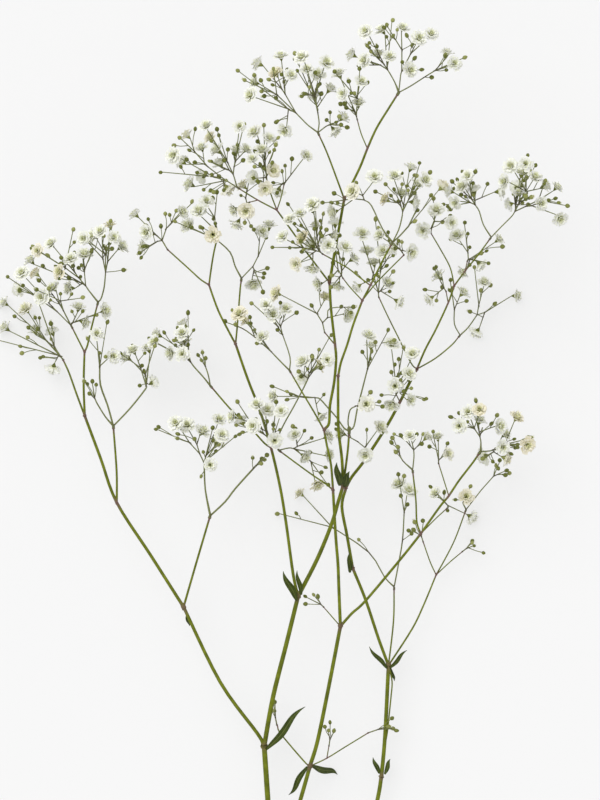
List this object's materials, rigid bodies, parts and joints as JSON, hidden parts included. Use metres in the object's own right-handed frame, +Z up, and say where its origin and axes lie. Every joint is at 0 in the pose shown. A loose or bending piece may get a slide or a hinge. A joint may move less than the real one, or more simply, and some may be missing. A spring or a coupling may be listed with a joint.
{
  "type": "gypsophila stem",
  "caption": "Branched cut stem of double-flowered gypsophila lying down, with fine twigs, small white pompon flowers, buds and pointed leaves.",
  "frame": {"origin": "centre of the bounding box at the surface that the stem lies on", "axes": "+Y along the stem from its cut end to the highest flowers, +Z up from the surface, +X to the right seen from above"},
  "size_m": [0.349, 0.6068, 0.1413],
  "materials": {
    "stem": "satin",
    "spray": "matte",
    "leaf": "satin"
  },
  "bodies": {
    "root": {"leaf_centre_left": "leaf", "leaf_centre_right": "leaf", "leaf_crown_a": "leaf", "leaf_crown_b": "leaf", "leaf_far_left": "leaf", "leaf_inner_fork": "leaf", "leaf_inner_fork_b": "leaf", "leaf_left_fork": "leaf", "leaf_right_fork_a": "leaf", "leaf_right_fork_b": "leaf", "leaf_right_fork_c": "leaf", "leaf_right_main": "leaf", "leaf_right_stem_a": "leaf", "leaf_right_stem_b": "leaf", "main_stem": "stem", "spray_centre_prong_a": "spray", "spray_centre_side": "spray", "spray_centre_twig": "spray", "spray_crown_c": "spray", "spray_crown_d": "spray", "spray_crown_e": "spray", "spray_crown_f": "spray", "spray_fan_a": "spray", "spray_fan_b": "spray", "spray_fan_bc": "spray", "spray_fan_c": "spray", "spray_inner_left": "spray", "spray_inner_mid": "spray", "spray_inner_up_a": "spray", "spray_inner_up_b": "spray", "spray_knee_left": "spray", "spray_knot": "spray", "spray_left_high_a": "spray", "spray_left_high_b": "spray", "spray_left_inner": "spray", "spray_left_low": "spray", "spray_low_mid": "spray", "spray_low_right_a": "spray", "spray_low_right_b": "spray", "spray_low_right_c": "spray", "spray_mid_left": "spray", "spray_right_aa": "spray", "spray_right_ab": "spray", "spray_right_abc": "spray", "spray_right_ac": "spray", "spray_right_b": "spray", "spray_right_c": "spray", "spray_right_d": "spray", "spray_right_e": "spray", "spray_shoot_bud": "spray", "spray_shoot_left": "spray", "spray_shoot_right": "spray", "spray_top_a": "spray", "spray_top_b": "spray", "spray_top_bd": "spray", "spray_top_left_a": "spray", "spray_top_left_ac": "spray", "spray_top_left_b": "spray", "spray_top_left_c": "spray"}
  },
  "joints": []
}
